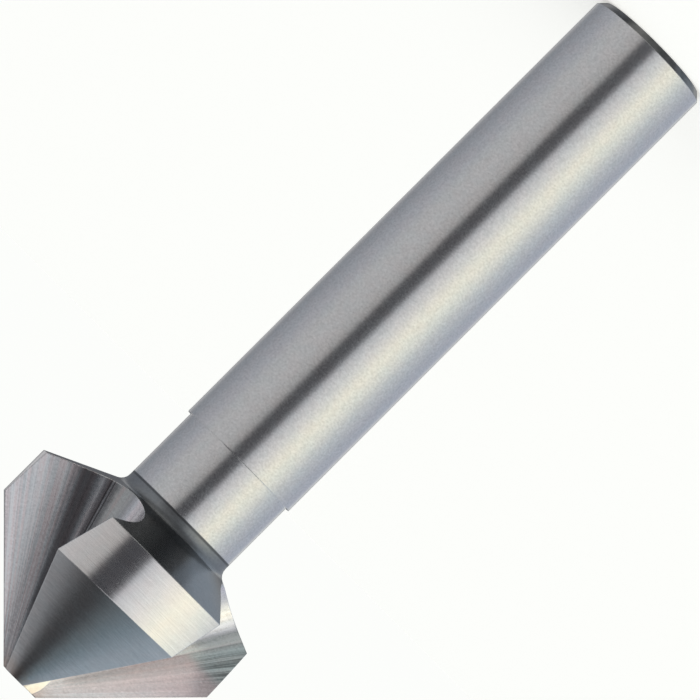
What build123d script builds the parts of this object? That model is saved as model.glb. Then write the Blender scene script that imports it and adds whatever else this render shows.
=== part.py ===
from build123d import *
import os
from math import cos, radians, sin, tan

# Countersink bit with three flutes and a straight shank, right-hand cutting, in one piece.
# Millimetres. It stands on the end of its shank with the point up: +Z is the axis,
# the origin is the middle of the shank's end face, and one tooth faces -Y.

overall_length = 63.3

# Shank, which takes the length that the neck and the head leave
shank_diameter = 10.0
shank_chamfer = 0.5

# Neck, from the square shoulder at the end of the shank to the corner under the head
neck_diameter = 9.5
neck_length = 6.585
neck_fillet_radius = 0.85

# Head: a cone in front, a short straight land, a steep cone behind
head_diameter = 20.5
land_length = 4.25
point_angle = 90.0
point_flat_diameter = 3.5
back_slope_angle = 25.0

# Each tooth's cone stands off the axis by this much, toward the flute ahead of it,
# so its face falls away behind the cutting edge
relief_offset = 0.25

# Flutes: each is the hollow of a cone whose apex lies above the point, beside the axis.
# Its floor climbs away from the axis and slants round it on the way to the shank.
flute_count = 3
flute_direction = -24.5
flute_apex_height = 1.9
flute_apex_offset = 0.83
flute_floor_angle = 14.8
flute_slant_angle = 16.6
flute_opening_angle = 54.0
flute_floor_radius = 3.6

# Sizes that follow from those above
shank_radius = shank_diameter / 2
neck_radius = neck_diameter / 2
head_radius = head_diameter / 2
point_radius = point_flat_diameter / 2
cone_slope = tan(radians(point_angle / 2))
cone_length = (head_radius - point_radius) / cone_slope
land_back = overall_length - cone_length - land_length
head_back = land_back - (head_radius - neck_radius) * tan(radians(back_slope_angle))
shank_length = head_back - neck_length
sector_angle = 360 / flute_count

# Blank: everything turned about the axis, with the nose still a plain cylinder
blank_profile = Polyline(
    (0, 0, 0),
    (shank_radius - shank_chamfer, 0, 0),
    (shank_radius, 0, shank_chamfer),
    (shank_radius, 0, shank_length),
    (neck_radius, 0, shank_length),
    (neck_radius, 0, head_back),
    (head_radius, 0, land_back),
    (head_radius, 0, overall_length),
    (0, 0, overall_length),
    close=True,
)
blank = revolve(make_face(blank_profile), axis=Axis.Z)
neck_corner = blank.edges().filter_by(GeomType.CIRCLE).filter_by_position(
    Axis.Z, head_back - neck_fillet_radius / 2, head_back + neck_fillet_radius / 2
)
blank = fillet(neck_corner, neck_fillet_radius)

# What grinding the relief takes off one tooth: its share of the nose outside its own cone,
# which runs on past both ends of the nose
nose_length = cone_length + land_length / 2
cone_overrun = point_radius / 2 / cone_slope
nose_back = Pos(0, 0, overall_length - nose_length) * Rot(0, 0, flute_direction)
nose_share = nose_back * Cylinder(
    radius=2 * head_radius,
    height=2 * nose_length,
    arc_size=sector_angle,
    rotation=(0, 0, -sector_angle),
    align=(Align.NONE, Align.NONE, Align.NONE),
)
tooth_cone = (
    nose_back
    * Pos(relief_offset, 0, 0)
    * Cone(
        bottom_radius=point_radius - relief_offset + nose_length * cone_slope,
        top_radius=point_radius - relief_offset - cone_overrun * cone_slope,
        height=nose_length + cone_overrun,
        align=(Align.CENTER, Align.CENTER, Align.MIN),
    )
)
relief_waste = nose_share - tooth_cone

# One flute's hollow: its outline on a plane square to the axis, just behind the head,
# drawn in to the apex. X points out of the flute, Y round toward the tooth behind it.
flute_depth = flute_apex_height + overall_length - head_back + neck_fillet_radius
flute_reach = 3 * flute_depth
floor_radius = flute_floor_radius * flute_depth / (flute_apex_height + overall_length - land_back)
floor_x = flute_depth * tan(radians(flute_floor_angle))
floor_y = flute_apex_offset - flute_depth * tan(radians(flute_slant_angle))
half_opening = radians(flute_opening_angle / 2)
floor_center_x = floor_x + floor_radius
heel_start = (
    floor_center_x - floor_radius * sin(half_opening),
    floor_y + floor_radius * cos(half_opening),
)
rake_start = (heel_start[0], 2 * floor_y - heel_start[1])
heel_end = (
    heel_start[0] + flute_reach * cos(half_opening),
    heel_start[1] + flute_reach * sin(half_opening),
)
rake_end = (heel_end[0], 2 * floor_y - heel_end[1])
flute_outline = Curve() + [
    Line(heel_end, heel_start),
    ThreePointArc(heel_start, (floor_x, floor_y), rake_start),
    Line(rake_start, rake_end),
    Line(rake_end, heel_end),
]
flute_section = Pos(0, 0, -flute_depth) * make_face(flute_outline)
flute_apex = Vertex(0, flute_apex_offset, 0)
flute_waste = (
    Pos(0, 0, overall_length + flute_apex_height)
    * Rot(0, 0, flute_direction)
    * loft([flute_section.face(), flute_apex], ruled=True)
)

countersink_bit = blank
for tooth in range(flute_count):
    turn = Rot(0, 0, tooth * sector_angle)
    countersink_bit -= turn * relief_waste
for flute in range(flute_count):
    turn = Rot(0, 0, flute * sector_angle)
    countersink_bit -= turn * flute_waste

os.makedirs("parts", exist_ok=True)
export_step(countersink_bit, "parts/countersink_bit.step")
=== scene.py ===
import math
from types import SimpleNamespace
import bpy
from mathutils import Matrix, Vector


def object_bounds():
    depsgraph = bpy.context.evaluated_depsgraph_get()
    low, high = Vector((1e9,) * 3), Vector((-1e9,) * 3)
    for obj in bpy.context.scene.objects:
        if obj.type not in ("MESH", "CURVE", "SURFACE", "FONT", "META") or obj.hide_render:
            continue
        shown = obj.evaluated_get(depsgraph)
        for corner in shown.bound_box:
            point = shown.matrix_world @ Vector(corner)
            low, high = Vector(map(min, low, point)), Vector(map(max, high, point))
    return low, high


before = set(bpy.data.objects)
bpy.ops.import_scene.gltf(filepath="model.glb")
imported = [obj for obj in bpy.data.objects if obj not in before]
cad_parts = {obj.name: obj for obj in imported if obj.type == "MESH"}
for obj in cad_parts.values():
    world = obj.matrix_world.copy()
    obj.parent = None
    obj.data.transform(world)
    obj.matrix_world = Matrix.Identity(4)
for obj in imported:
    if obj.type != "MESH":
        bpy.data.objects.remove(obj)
cadLow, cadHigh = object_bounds()
perMetre = 1000.0              # the steel's own lengths are in mm
toolLength = cadHigh.z * perMetre
print("frame loaded, tool length in mm:", round(toolLength, 2))


# Sockets that add up: an expression on them makes its own Math nodes

class Val:
    def __init__(self, tree, socket):
        self.tree = tree
        self.socket = socket

    def math(self, operation, *others):
        node = self.tree.nodes.new("ShaderNodeMath")
        node.operation = operation
        for place, value in enumerate((self, *others)):
            plug(self.tree, value, node.inputs[place])
        return Val(self.tree, node.outputs[0])

    def __add__(self, other): return self.math("ADD", other)
    def __sub__(self, other): return self.math("SUBTRACT", other)
    def __mul__(self, other): return self.math("MULTIPLY", other)
    def __truediv__(self, other): return self.math("DIVIDE", other)
    def __rsub__(self, other): return (self * -1).math("ADD", other)
    def __abs__(self): return self.math("ABSOLUTE")
    __radd__ = __add__
    __rmul__ = __mul__

    def smooth(self, start, end):
        # 0 before start, 1 after end; the other way round when start is the larger
        low, high = min(start, end), max(start, end)
        out = (0.0, 1.0) if start < end else (1.0, 0.0)
        node = self.tree.nodes.new("ShaderNodeMapRange")
        node.interpolation_type = "SMOOTHSTEP"
        names = ("Value", "From Min", "From Max", "To Min", "To Max")
        for name, value in zip(names, (self, low, high, *out)):
            plug(self.tree, value, node.inputs[name])
        return Val(self.tree, node.outputs["Result"])

    def band(self, middle, outer, inner):
        # 1 within inner of the middle, 0 past outer
        return abs(self - middle).smooth(outer, inner)


def plug(tree, value, socket):
    if isinstance(value, Val):
        tree.links.new(value.socket, socket)
    else:
        socket.default_value = value


class Board:
    # A node tree with one way to add any node: its type, its settings, then its sockets,
    # by name, or by number as i0, i1 and so on
    def __init__(self, tree):
        self.tree = tree
        tree.nodes.clear()

    def add(self, kind, settings=None, stops=None, **sockets):
        node = self.tree.nodes.new(kind)
        for name, value in (settings or {}).items():
            setattr(node, name, value)
        if stops:
            ramp = node.color_ramp
            while len(ramp.elements) < len(stops):
                ramp.elements.new(1.0)
            for element, (place, color) in zip(ramp.elements, stops):
                element.position = place
                element.color = (*color, 1)
        for name, value in sockets.items():
            numbered = name[0] == "i" and name[1:].isdigit()
            key = int(name[1:]) if numbered else name.replace("_", " ")
            plug(self.tree, value, node.inputs[key])
        return node

    def out(self, node, name=0):
        return Val(self.tree, node.outputs[name])

    def mix(self, factor, first, second, blend="MIX"):
        # A Mix node for colours: inputs 0, 6 and 7 are its factor and its two colours
        settings = {"data_type": "RGBA", "blend_type": blend}
        return self.out(self.add("ShaderNodeMix", settings, i0=factor, i6=first, i7=second), 2)

    def ramp(self, stops, factor):
        return self.out(self.add("ShaderNodeValToRGB", stops=stops, Fac=factor))

    def vector(self, x, y, z):
        return self.out(self.add("ShaderNodeCombineXYZ", X=x, Y=y, Z=z))

    def split(self, vector):
        parts = self.add("ShaderNodeSeparateXYZ", Vector=vector)
        return [self.out(parts, place) for place in range(3)]

    def noise(self, look, *place):
        x, y, z = (value * size for value, size in zip(place, look["sizes"]))
        if "shift" in look:
            x = x + look["shift"]
        node = self.add(
            "ShaderNodeTexNoise", Vector=self.vector(x, y, z), Scale=1.0,
            Detail=look["detail"], Roughness=look["roughness"],
        )
        return self.out(node, "Fac")


# Camera: the bit lies across the picture, point at the lower left

view = {
    "place": (0.0, -0.470, 0.0547),
    "target": (-0.00002, 0.0, 0.03028),
    "up": (0.7071, 0.0, -0.7071),
    "width": 0.04944,          # metres across the picture at the target
    "sensor": 36.0,
    "clip": (0.01, 20.0),
}


def makeCamera():
    place, target = Vector(view["place"]), Vector(view["target"])
    forward = (target - place).normalized()
    right = forward.cross(Vector(view["up"])).normalized()
    up = right.cross(forward)
    data = bpy.data.cameras.new("camera")
    data.sensor_width = view["sensor"]
    data.lens = view["sensor"] * (target - place).length / view["width"]
    data.clip_start, data.clip_end = view["clip"]
    camera = bpy.data.objects.new("camera", data)
    bpy.context.scene.collection.objects.link(camera)
    turn = Matrix((right, up, -forward)).transposed().to_4x4()
    camera.matrix_world = Matrix.Translation(place) @ turn
    bpy.context.scene.camera = camera


makeCamera()
print("camera set")


# Studio: a white card to the eye, and in reflections a ring of soft cards with a dark gap in
# front, more cards overhead and low down. A pair says where a part starts and where it is full.

studio = {
    "backdrop": (0.975, 0.985, 0.965, 1),
    "sideStops": [             # once round, from the back through the right, front and left
        (0.00, (0.13, 0.135, 0.15)),
        (0.025, (0.17, 0.175, 0.19)),
        (0.05, (0.62, 0.62, 0.63)),
        (0.08, (0.36, 0.37, 0.39)),
        (0.12, (0.30, 0.32, 0.355)),
        (0.25, (0.465, 0.475, 0.515)),
        (0.306, (0.55, 0.56, 0.57)),
        (0.37, (0.565, 0.56, 0.57)),
        (0.45, (0.47, 0.46, 0.455)),
        (0.52, (0.60, 0.61, 0.65)),
        (0.58, (0.88, 0.88, 0.86)),
        (0.64, (1.15, 1.12, 0.95)),
        (0.69, (0.98, 1.00, 0.91)),
        (0.75, (0.67, 0.71, 0.735)),
        (0.83, (0.50, 0.535, 0.605)),
        (0.91, (0.475, 0.51, 0.595)),
        (0.95, (0.80, 0.81, 0.80)),
        (0.98, (0.20, 0.205, 0.22)),
        (1.00, (0.13, 0.135, 0.15)),
    ],
    "gapTone": (0.062, 0.063, 0.071, 1),
    "gapBow": 0.98,            # how far the gap leans over higher up
    "gapRight": (0.355, 0.290),
    "gapLeft": (-0.165, -0.085),
    "gapBack": (0.2, -0.1),
    "gapFoot": (-0.36, -0.16),
    "overheadFrom": (0.45, 0.93),
    "overheadStops": [         # from left to right, as are all that follow
        (0.00, (0.65, 0.71, 0.77)),
        (0.28, (0.31, 0.37, 0.425)),
        (0.36, (0.175, 0.225, 0.26)),
        (0.43, (0.122, 0.145, 0.158)),
        (0.49, (0.046, 0.046, 0.050)),
        (0.57, (0.042, 0.042, 0.044)),
        (0.62, (0.14, 0.142, 0.15)),
        (0.68, (0.275, 0.28, 0.295)),
        (0.76, (0.40, 0.40, 0.41)),
        (1.00, (0.60, 0.59, 0.59)),
    ],
    "lowFrom": (-0.22, -0.42),
    "lowDip": 0.22,            # how much lower the low cards start behind the bit
    "lowStops": [
        (0.00, (0.46, 0.48, 0.51)),
        (0.11, (0.78, 0.80, 0.82)),
        (0.20, (0.62, 0.64, 0.66)),
        (0.32, (0.26, 0.285, 0.31)),
        (0.43, (0.19, 0.20, 0.21)),
        (0.53, (0.26, 0.275, 0.275)),
        (0.60, (0.38, 0.41, 0.41)),
        (0.67, (0.36, 0.37, 0.37)),
        (0.76, (0.90, 0.89, 0.86)),
        (0.86, (0.68, 0.68, 0.68)),
        (1.00, (0.42, 0.43, 0.45)),
    ],
    "downTone": (0.030, 0.031, 0.034, 1),
    "downFrom": (-0.65, -0.72),
    "lowBackTone": (0.52, 0.59, 0.67, 1),
    "lowBackFrom": (0.18, 0.44),
    "lowBackTurn": 0.5,
    "farBackFrom": (0.25, 0.6),        # the side cards come down here, behind and to the right
    "farRightFrom": (0.05, 0.2),
    "underFrom": (-0.83, -0.89),
    "underStops": [
        (0.15, (0.34, 0.36, 0.38)),
        (0.42, (0.30, 0.31, 0.32)),
        (0.60, (0.70, 0.70, 0.68)),
        (1.00, (0.52, 0.53, 0.53)),
    ],
}


def makeWorld():
    world = bpy.data.worlds.new("studio")
    world.use_nodes = True
    bpy.context.scene.world = world
    b = Board(world.node_tree)
    x, y, z = b.split(b.out(b.add("ShaderNodeTexCoord"), "Generated"))
    turn = (x * -1).math("ARCTAN2", y * -1) / (2 * math.pi) + 0.5
    across = x * 0.5 + 0.5
    side = b.ramp(studio["sideStops"], turn)

    low = b.ramp(studio["lowStops"], across)
    low = b.mix(z.smooth(*studio["downFrom"]), low, studio["downTone"])
    lowBack = (y - x * studio["lowBackTurn"]).smooth(*studio["lowBackFrom"])
    low = b.mix(lowBack, low, studio["lowBackTone"])
    farBack = y.smooth(*studio["farBackFrom"]) * x.smooth(*studio["farRightFrom"])
    low = b.mix(farBack, low, side)
    under = b.ramp(studio["underStops"], across)
    low = b.mix(z.smooth(*studio["underFrom"]), low, under)

    up = z.math("MAXIMUM", 0.0)
    bowed = x - studio["gapBow"] * up * (1 - up)
    gap = bowed.smooth(*studio["gapRight"]) * bowed.smooth(*studio["gapLeft"])
    gap = gap * y.smooth(*studio["gapBack"]) * z.smooth(*studio["gapFoot"])
    color = b.mix(gap, side, studio["gapTone"])
    overhead = b.ramp(studio["overheadStops"], across)
    color = b.mix(z.smooth(*studio["overheadFrom"]), color, overhead)
    dipped = z + y.math("MAXIMUM", 0.0) * studio["lowDip"]
    color = b.mix(dipped.smooth(*studio["lowFrom"]), color, low)

    soft = b.add("ShaderNodeBackground", Color=color, Strength=1.0)
    card = b.add("ShaderNodeBackground", Color=studio["backdrop"], Strength=1.0)
    seen = b.out(b.add("ShaderNodeLightPath"), "Is Camera Ray")
    both = b.add("ShaderNodeMixShader", Fac=seen, i1=b.out(soft), i2=b.out(card))
    b.add("ShaderNodeOutputWorld", Surface=b.out(both))


makeWorld()

lamp = {"from": (-0.1, -1.0, 1.3), "strength": 0.8, "softness": 50}      # degrees


def makeLamp():
    data = bpy.data.lights.new("softLamp", "SUN")
    data.energy = lamp["strength"]
    data.angle = math.radians(lamp["softness"])
    lampObject = bpy.data.objects.new("softLamp", data)
    bpy.context.scene.collection.objects.link(lampObject)
    lampObject.rotation_euler = (-Vector(lamp["from"])).to_track_quat("-Z", "Y").to_euler()
    lampObject.visible_glossy = False      # the steel mirrors only the cards


makeLamp()

floorLook = {
    "size": 3.0,
    "color": (0.80, 0.81, 0.79, 1),
    "glow": (0.529, 0.520, 0.493, 1),
    "roughness": 0.9,
}


def makeFloor():
    bpy.ops.mesh.primitive_plane_add(size=floorLook["size"], location=(0, 0, 0))
    floor = bpy.context.object
    floor.name = "floor"
    material = bpy.data.materials.new("floor")
    material.use_nodes = True
    b = Board(material.node_tree)
    shader = b.add(
        "ShaderNodeBsdfPrincipled", Base_Color=floorLook["color"], Roughness=floorLook["roughness"],
        Emission_Color=floorLook["glow"], Emission_Strength=1.0,
    )
    b.add("ShaderNodeOutputMaterial", Surface=b.out(shader))
    floor.data.materials.append(material)
    floor.visible_glossy = False


makeFloor()
bpy.context.scene.view_settings.view_transform = "Standard"
print("studio lit")


# Ground steel: one material, whose finish follows the surface it is on, with painted shade and
# painted highlights

steel = {
    "shankTone": (0.70, 0.70, 0.70, 1),
    "landTone": (0.81, 0.795, 0.785, 1),
    "coneTone": (0.76, 0.76, 0.76, 1),
    "fluteTone": (0.84, 0.805, 0.81, 1),
    "heelTone": (0.96, 0.94, 0.94, 1),
    "rakeTone": (0.83, 0.725, 0.735, 1),
    "rakeEndTone": (0.73, 0.785, 0.785, 1),
    "ledgeHighlightTone": (1.0, 1.0, 0.98, 1),
    "facetCreamAndHighlightTone": (1.0, 0.975, 0.88, 1),
    # the back cone: its dark oxide tone, with a painted dark reflection
    "backConeOxideAndShadeTone": (0.27, 0.28, 0.29, 1),
    "cornerTone": (0.28, 0.295, 0.31, 1),
    "chamferTone": (0.085, 0.088, 0.088, 1),
    "shoulderPaintedLightTone": (1.0, 1.0, 1.0, 1),
    "edgeHighlightTone": (0.93, 0.92, 0.90, 1),
    "heatTone": (0.80, 0.58, 0.46, 1),
    "cloudTints": [(1.0, 0.975, 0.97, 1), (0.965, 0.985, 0.99, 1)],
    "streakTints": [(1.0, 0.93, 0.93, 1), (0.93, 0.985, 1.0, 1)],
    "shankRoughness": 0.22,
    "landRoughness": 0.155,
    "coneRoughness": 0.22,
    "fluteRoughness": 0.21,
    "backConeRoughness": 0.20,
    "cornerRoughness": 0.46,
    "cornerRoughFront": (15.1, 15.5),  # mm behind the point
    "grainRoughness": 0.05,
    "cloudRoughness": 0.04,
    "edgeRadius": 0.0001,      # metres, as is the next
    "reliefHeight": 0.0000022,
}

# The bit's own form, in mm. Each flute is the hollow of a cone, whose apex lies above the point
# and beside the axis.
form = {
    "pointRadius": 1.75,
    "headRadius": 10.25,
    "landFront": 8.5,          # behind the point, as are the next two
    "landBack": 12.75,
    "neckLine": 16.25,         # where the ground neck begins
    "fluteDirection": -24.5,   # degrees, as is the next
    "fluteSpacing": 120.0,
    "apexHeight": 1.9,
    "apexOffset": 0.83,
    "floorOut": math.tan(math.radians(14.8)),      # the floor's two slopes
    "floorAcross": -math.tan(math.radians(16.6)),
    "halfOpening": math.radians(27),
}


def readSurface(b):
    # Where the surface lies, in mm, and which way it faces: the values travel on in s
    s = SimpleNamespace()
    coords = b.add("ShaderNodeTexCoord")
    metres = b.out(coords, "Object")
    scaled = b.add("ShaderNodeVectorMath", {"operation": "SCALE"}, Vector=metres, Scale=perMetre)
    s.x, s.y, s.z = b.split(b.out(scaled))
    s.nx, s.ny, s.nz = b.split(b.out(coords, "Normal"))
    s.r = (s.x * s.x + s.y * s.y).math("SQRT").math("MAXIMUM", 0.001)
    s.back = toolLength - s.z
    s.around = s.y.math("ARCTAN2", s.x)

    # A flute's own frame, in shares of the depth below its apex: out from the axis and across
    # it, then side, how far round from the floor, and run, how far up the heel face
    step = math.radians(form["fluteSpacing"])
    fromFlute = s.around - math.radians(form["fluteDirection"])
    s.local = (fromFlute + step / 2).math("WRAP", step, 0.0) - step / 2
    s.depth = s.back + form["apexHeight"]
    s.out = s.r * s.local.math("COSINE") / s.depth
    s.across = (s.r * s.local.math("SINE") - form["apexOffset"]) / s.depth
    s.side = s.across - form["floorAcross"]
    tilt = form["halfOpening"]
    s.run = (s.out - form["floorOut"]) * math.cos(tilt) + s.side * math.sin(tilt)
    return s


# Zones: a pair says where each starts and where it is full, in mm behind the point
zones = {
    "insideBlank": (0.40, 0.50),       # mm in from the blank's own outline
    "hollowFront": (form["landBack"] + 0.02, form["landBack"] - 0.02),
    "hollowBehind": (form["landBack"] - 0.02, form["landBack"] + 0.02),
    "hollowBack": (15.3, 15.2),
    "cutBack": (16.2, 15.9),
    "cone": (form["landFront"] + 0.6, form["landFront"] - 0.1),
    "landFront": (form["landFront"] - 0.6, form["landFront"] - 0.4),
    "landBack": (form["landBack"] + 0.02, form["landBack"] - 0.04),
    "dullFront": (form["landBack"] - 0.06, form["landBack"] + 0.02),
    "dullBack": (form["neckLine"] + 0.03, form["neckLine"] - 0.03),
    "backConeBack": (15.5, 15.2),
    "outerHeel": (2.5, 5.0),
    "cutFacing": (0.12, 0.20),         # a normal's lean round the axis, or along it
    "hollowFacing": (-0.5, -0.3),
    "coneFacing": (0.3, 0.6),
    "landFacing": (0.3, 0.1),
    "heelSide": (0.0, 0.12),           # sides, in shares of the depth
    "rakeSide": (-0.05, -0.15),
    "facetSide": -0.38,
    "facetSlope": 0.1,
    "facetSoft": (-0.005, 0.03),
}


def findZones(s):
    # Each zone is 1 where its finish lies and 0 elsewhere
    back, nz, side = s.back, s.nz, s.side
    blankRadius = (back + form["pointRadius"]).math("MINIMUM", form["headRadius"])
    hollow = (blankRadius - s.r).smooth(*zones["insideBlank"])
    hollow = hollow * back.smooth(*zones["hollowFront"])
    behind = back.smooth(*zones["hollowBehind"]) * back.smooth(*zones["hollowBack"])
    hollow = hollow.math("MAXIMUM", nz.smooth(*zones["hollowFacing"]) * behind)
    sideways = abs(s.ny * s.x - s.nx * s.y) / s.r
    s.cut = hollow.math("MAXIMUM", sideways.smooth(*zones["cutFacing"]))
    s.cut = s.cut * back.smooth(*zones["cutBack"])
    s.turned = 1 - s.cut
    s.cone = s.turned * back.smooth(*zones["cone"]) * nz.smooth(*zones["coneFacing"])
    s.land = s.turned * nz.smooth(*zones["landFacing"])
    s.land = s.land * back.smooth(*zones["landFront"]) * back.smooth(*zones["landBack"])
    s.dull = s.turned * back.smooth(*zones["dullFront"]) * back.smooth(*zones["dullBack"])
    s.backCone = s.dull * back.smooth(*zones["backConeBack"])
    s.heel = s.cut * side.smooth(*zones["heelSide"])
    s.outerHeel = s.heel * back.smooth(*zones["outerHeel"])
    s.rake = s.cut * side.smooth(*zones["rakeSide"])
    facetEdge = side - zones["facetSide"] - back * zones["facetSlope"]
    s.facet = s.rake * facetEdge.smooth(*zones["facetSoft"])


# Noise: how fine it is along each of three directions, its detail and its roughness
noises = {
    "lines": {"sizes": (10.0, 1.6, 0.4), "detail": 3.0, "roughness": 0.6},
    "fineLines": {"sizes": (21.0, 9.0, 1.0), "detail": 2.0, "roughness": 0.6},
    "streaks": {"sizes": (62.0, 62.0, 0.09), "detail": 3.0, "roughness": 0.65},
    "broadStreaks": {"sizes": (17.0, 17.0, 0.05), "detail": 2.0, "roughness": 0.5},
    "tintStreaks": {"sizes": (30.0, 30.0, 0.05), "detail": 1.0, "roughness": 0.5, "shift": 7.0},
    "grain": {"sizes": (4.6, 4.6, 6.5), "detail": 2.0, "roughness": 0.6},
    "fineGrain": {"sizes": (13.0, 13.0, 13.0), "detail": 2.0, "roughness": 0.6},
    "cloud": {"sizes": (0.9, 0.9, 0.9), "detail": 2.0, "roughness": 0.5},
}


def makeNoises(b, s):
    # Lines left by grinding: round the turned surfaces, and from the apex down each flute
    flute = (s.out, s.across, s.depth)
    s.lines = b.noise(noises["lines"], s.back, s.around, s.r)
    s.fineLines = b.noise(noises["fineLines"], s.back, s.around, s.r)
    s.streaks = b.noise(noises["streaks"], *flute)
    s.broadStreaks = b.noise(noises["broadStreaks"], *flute)
    s.tintStreaks = b.noise(noises["tintStreaks"], *flute)
    s.grain = b.noise(noises["grain"], s.x, s.y, s.z)
    s.fineGrain = b.noise(noises["fineGrain"], s.x, s.y, s.z)
    s.cloud = b.noise(noises["cloud"], s.x, s.y, s.z)


# The lean of the normal: on the heel face it starts and is full at a pair of runs, and on the
# facet at the point it is even
lean = {
    "outer": (0.85, 0.42),
    "outerBy": 0.105,
    "widenFrom": 8,            # mm below the apex
    "widenBy": 0.02,
    "hollowStart": (0.42, 0.26),
    "hollowEnd": (0.212, 0.262),
    "hollowBy": 0.080,
    "floor": (0.21, 0.14),
    "floorBy": -0.06,
    "wholeBy": -0.075,
    "facetInward": 0.62,
    "facetUpward": 0.34,
}


def leanNormal(b, s):
    # The heel face is a little hollow, and the facet faces out of its flute
    run = s.run
    widened = run + (s.depth - lean["widenFrom"]) * lean["widenBy"]
    heelLean = widened.smooth(*lean["outer"]) * lean["outerBy"]
    heelLean = heelLean + run.smooth(*lean["floor"]) * lean["floorBy"]
    hollow = run.smooth(*lean["hollowStart"]) * run.smooth(*lean["hollowEnd"])
    heelLean = (heelLean + hollow * lean["hollowBy"] + lean["wholeBy"]) * s.heel
    facetLean = s.facet * lean["facetInward"]
    heelTurn = s.around - s.local + form["halfOpening"]
    facetTurn = s.around - s.local - form["halfOpening"]
    leanVector = b.vector(
        heelTurn.math("COSINE") * heelLean + facetTurn.math("COSINE") * facetLean,
        heelTurn.math("SINE") * heelLean + facetTurn.math("SINE") * facetLean,
        s.facet * lean["facetUpward"],
    )
    s.bevel = b.out(b.add("ShaderNodeBevel", {"samples": 6}, Radius=steel["edgeRadius"]))
    leant = b.add("ShaderNodeVectorMath", {"operation": "ADD"}, i0=s.bevel, i1=leanVector)
    return b.out(b.add("ShaderNodeVectorMath", {"operation": "NORMALIZE"}, i0=b.out(leant)))


# Marks and painted shade: a depth is how much of the brightness each takes, a height is its share
# of the relief's, a band is its middle with its outer and inner half width, a front is in mm behind
# the point, and patches break a mark up
marks = {
    "linesHeight": 0.55,
    "fineLinesHeight": 0.25,
    "streaksHeight": 0.9,
    "broadStreaksHeight": 1.6,
    "grainHeight": 0.12,
    "linesDepth": 0.30,
    "fineLinesDepth": 0.30,
    "linesFront": (13.0, 12.4),
    "heelStreaksDepth": 0.85,
    "lipCalm": (0.17, 0.12),
    "lipCalmDepth": 0.5,
    "rakeStreaksDepth": 0.30,
    "rakeStreaksFront": (8.2, 10.6),
    "rakeStreaksMoreDepth": 0.75,
    "broadStreaksDepth": 0.35,
    "grainDepth": 0.55,
    "fineGrainDepth": 0.15,
    "headGrainCalm": 0.7,
    "neckBand": (form["neckLine"] - 0.10, 0.13, 0.03),
    "neckShadeDepth": 0.5,
    # painted dark reflection in the middle of each tooth, on the back cone and in the corner
    "backConeAway": (0.45, 0.70),      # radians from the flute's middle
    "backConeShadeDepth": 0.36,
    "cornerAway": (0.70, 0.90),
    "cornerShadeDepth": 0.28,
    "scoreMiddle": 0.180,              # two scores, one on each side of this run
    "scoreBand": (0.008, 0.006, 0.001),
    "scorePatches": (0.3, 0.5),
    "scoreDepth": 0.6,
    "hollowBand": (0.30, 0.07, 0.015),
    "hollowWander": 0.06,
    "hollowShadeDepth": 0.52,
    "secondBand": (0.196, 0.018, 0.008),
    "secondPatches": (0.25, 0.5),
    "secondShare": 0.75,
    "lipBand": (0.10, 0.085, 0.03),
    "lipShadeDepth": 0.54,
    "darkSide": (-0.24, -0.275),
    "darkFront": (9.0, 10.6),
    "darkPatches": (0.58, 0.42),
    "darkDepth": 0.5,
}


def shadeOf(s):
    back, run, streaks = s.back, s.run, s.streaks
    head = s.turned * back.smooth(*marks["linesFront"])
    lines = (s.lines - 0.5) * marks["linesDepth"] + (s.fineLines - 0.5) * marks["fineLinesDepth"]
    heelDepth = marks["heelStreaksDepth"] - run.smooth(*marks["lipCalm"]) * marks["lipCalmDepth"]
    rakeMore = back.smooth(*marks["rakeStreaksFront"]) * marks["rakeStreaksMoreDepth"]
    streakDepth = s.heel * heelDepth + s.rake * (marks["rakeStreaksDepth"] + rakeMore)
    shade = lines * head + (streaks - 0.5) * streakDepth
    shade = shade + (s.broadStreaks - 0.5) * s.cut * marks["broadStreaksDepth"]
    grain = (s.grain - 0.5) * marks["grainDepth"] + (s.fineGrain - 0.5) * marks["fineGrainDepth"]
    shade = shade + grain * (1 - head * marks["headGrainCalm"]) + 1.0
    # Painted shade: a dark band along the neck line
    shade = shade * (1 - back.band(*marks["neckBand"]) * marks["neckShadeDepth"])

    # Painted shade: the dull steel is painted darker in the middle of each tooth, away from the
    # flutes, a painted dark reflection
    away = abs(s.local)
    paintedToothShade = s.backCone * away.smooth(*marks["backConeAway"]) * marks["backConeShadeDepth"]
    corner = (s.dull - s.backCone) * away.smooth(*marks["cornerAway"])
    shade = shade * (1 - paintedToothShade - corner * marks["cornerShadeDepth"])

    # In the flutes: scores, painted dark reflections in bands across the heel face and on its lip,
    # and dark streaks at the rake face's end
    scores = abs(run - marks["scoreMiddle"]).band(*marks["scoreBand"])
    scores = scores * s.heel * streaks.smooth(*marks["scorePatches"])
    shade = shade * (1 - scores * marks["scoreDepth"])
    # Painted dark reflections: bands across the heel face, where it is a little hollow
    wander = (s.broadStreaks - 0.5) * marks["hollowWander"]
    second = run.band(*marks["secondBand"]) * streaks.smooth(*marks["secondPatches"])
    paintedHollowBands = (run - wander).band(*marks["hollowBand"]) + second * marks["secondShare"]
    shade = shade * (1 - paintedHollowBands * s.outerHeel * marks["hollowShadeDepth"])
    # Painted dark reflection on the lip of the heel face
    lip = run.band(*marks["lipBand"]) * s.outerHeel
    shade = shade * (1 - lip * marks["lipShadeDepth"])
    dark = s.rake * back.smooth(*marks["darkFront"]) * s.side.smooth(*marks["darkSide"])
    dark = dark * streaks.smooth(*marks["darkPatches"])
    return shade * (1 - dark * marks["darkDepth"])
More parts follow.
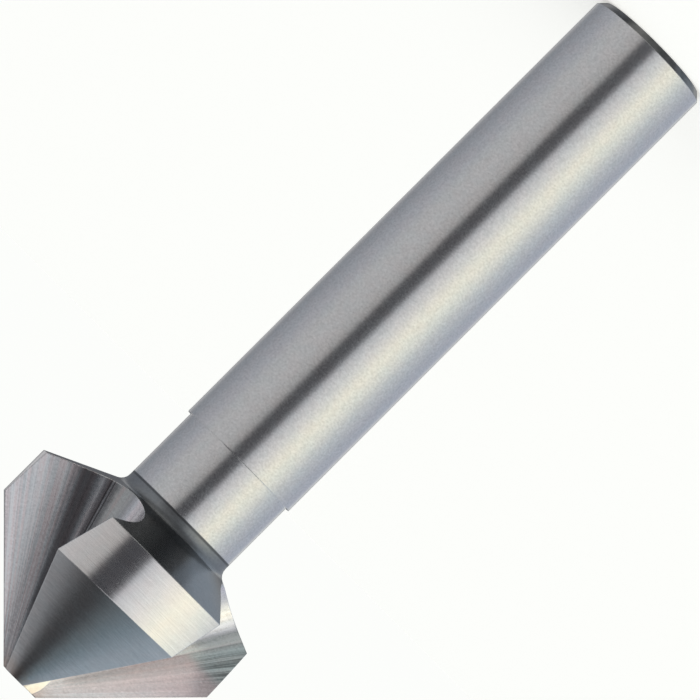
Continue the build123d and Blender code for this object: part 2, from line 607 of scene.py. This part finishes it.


# Tints and painted highlights: where each tone starts and is full, in mm behind the point, and how
# much of it shows
tints = {
    "rakeFront": (1.0, 8.0),
    "ledgeSide": (-0.226, -0.234),     # sides, in shares of the depth
    "ledgeFront": (8.5, 9.5),
    "rakeEndFront": (9.3, 10.2),
    "shoulderFront": (20.0, 21.0),
    "shoulderFacing": (0.3, 0.8),
    "cornerFront": (15.2, 15.6),
    "chamferHeight": (0.54, 0.48),     # mm above the shank's end
    "chamferFacing": (-0.97, -0.90),
    "chamferShare": 0.88,
    "chamferCloud": 0.5,
    "cloudPatches": (0.35, 0.65),
    "cloudShare": 0.6,
    "streakPatches": (0.4, 0.6),
    "heelStreakShare": 0.85,
    "rakeStreakShare": 0.35,
    "heatFront": (1.6, 0.0),
    "heatPatches": (0.3, 0.6),
    "heatShare": 0.5,
    "edgeAgreement": (0.985, 0.90),
    "edgeShare": 0.8,
    "cutEdgeShare": 0.2,
}


def colorOf(b, s):
    back = s.back
    color = b.mix(s.cone, steel["shankTone"], steel["coneTone"])
    color = b.mix(s.land, color, steel["landTone"])
    color = b.mix(s.cut, color, steel["fluteTone"])
    color = b.mix(s.heel, color, steel["heelTone"])
    color = b.mix(s.rake * back.smooth(*tints["rakeFront"]), color, steel["rakeTone"])
    # A bright ledge band on the rake face is painted in, a painted highlight
    pastLedge = s.side.smooth(*tints["ledgeSide"])
    ledge = s.rake * (1 - pastLedge) * back.smooth(*tints["ledgeFront"])
    color = b.mix(ledge, color, steel["ledgeHighlightTone"])
    rakeEnd = s.rake * pastLedge * back.smooth(*tints["rakeEndFront"])
    color = b.mix(rakeEnd, color, steel["rakeEndTone"])
    # The shoulder face is painted white: painted light that hides its own shade
    shoulder = s.nz.smooth(*tints["shoulderFacing"]) * back.smooth(*tints["shoulderFront"])
    color = b.mix(shoulder, color, steel["shoulderPaintedLightTone"])
    # The dull steel takes a dark oxide tone, and on the back cone also a painted dark reflection
    inCorner = back.smooth(*tints["cornerFront"])
    color = b.mix(s.dull, color, b.mix(inCorner, steel["backConeOxideAndShadeTone"], steel["cornerTone"]))
    chamfer = s.z.smooth(*tints["chamferHeight"]) * s.nz.smooth(*tints["chamferFacing"])
    chamfer = chamfer * (tints["chamferShare"] + (s.cloud - 0.5) * tints["chamferCloud"])
    color = b.mix(chamfer, color, steel["chamferTone"])

    cloudTint = b.mix(s.cloud.smooth(*tints["cloudPatches"]), *steel["cloudTints"])
    color = b.mix(tints["cloudShare"], color, cloudTint, "MULTIPLY")
    streakTint = b.mix(s.tintStreaks.smooth(*tints["streakPatches"]), *steel["streakTints"])
    streaked = s.heel * tints["heelStreakShare"] + s.rake * tints["rakeStreakShare"]
    color = b.mix(streaked, color, streakTint, "MULTIPLY")
    shade = shadeOf(s)
    shadeColor = b.out(b.add("ShaderNodeCombineColor", Red=shade, Green=shade, Blue=shade))
    color = b.mix(1.0, color, shadeColor, "MULTIPLY")
    # The facet at the point is painted bright cream over the shade: its cream tone and a painted
    # highlight
    color = b.mix(s.facet, color, steel["facetCreamAndHighlightTone"])
    heat = back.smooth(*tints["heatFront"]) * s.cloud.smooth(*tints["heatPatches"])
    color = b.mix(heat * tints["heatShare"], color, steel["heatTone"])

    # Edges: where a rounded normal leaves the true one, the steel is painted bright, a painted edge
    # highlight
    sharp = b.out(b.add("ShaderNodeNewGeometry"), "Normal")
    agree = b.add("ShaderNodeVectorMath", {"operation": "DOT_PRODUCT"}, i0=s.bevel, i1=sharp)
    edge = b.out(agree, "Value").smooth(*tints["edgeAgreement"])
    edge = edge * (tints["edgeShare"] - s.cut * (tints["edgeShare"] - tints["cutEdgeShare"]))
    return b.mix(edge, color, steel["edgeHighlightTone"])


def roughnessOf(s):
    shank, dull = steel["shankRoughness"], steel["backConeRoughness"]
    roughness = shank + s.cone * (steel["coneRoughness"] - shank)
    roughness = roughness + s.land * (steel["landRoughness"] - shank)
    roughness = roughness + s.cut * (steel["fluteRoughness"] - shank)
    roughness = roughness + s.dull * (dull - shank)
    inCorner = s.dull * s.back.smooth(*steel["cornerRoughFront"])
    roughness = roughness + inCorner * (steel["cornerRoughness"] - dull)
    roughness = roughness + (s.grain - 0.5) * steel["grainRoughness"]
    return roughness + (s.cloud - 0.5) * steel["cloudRoughness"]


def reliefOf(s):
    turned = s.lines * marks["linesHeight"] + s.fineLines * marks["fineLinesHeight"]
    cut = s.streaks * marks["streaksHeight"] + s.broadStreaks * marks["broadStreaksHeight"]
    return turned * s.turned + cut * s.cut + s.grain * marks["grainHeight"]


def makeSteel():
    material = bpy.data.materials.new("groundSteel")
    material.use_nodes = True
    b = Board(material.node_tree)
    s = readSurface(b)
    findZones(s)
    makeNoises(b, s)
    leant = leanNormal(b, s)
    bump = b.add(
        "ShaderNodeBump", Strength=1.0, Distance=steel["reliefHeight"],
        Height=reliefOf(s), Normal=leant,
    )
    shader = b.add(
        "ShaderNodeBsdfPrincipled",
        Base_Color=colorOf(b, s), Roughness=roughnessOf(s), Metallic=1.0, Normal=b.out(bump),
    )
    b.add("ShaderNodeOutputMaterial", Surface=b.out(shader))
    return material


steelMaterial = makeSteel()
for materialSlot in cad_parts["countersink_bit"].material_slots:
    materialSlot.material = steelMaterial
print("steel finished")
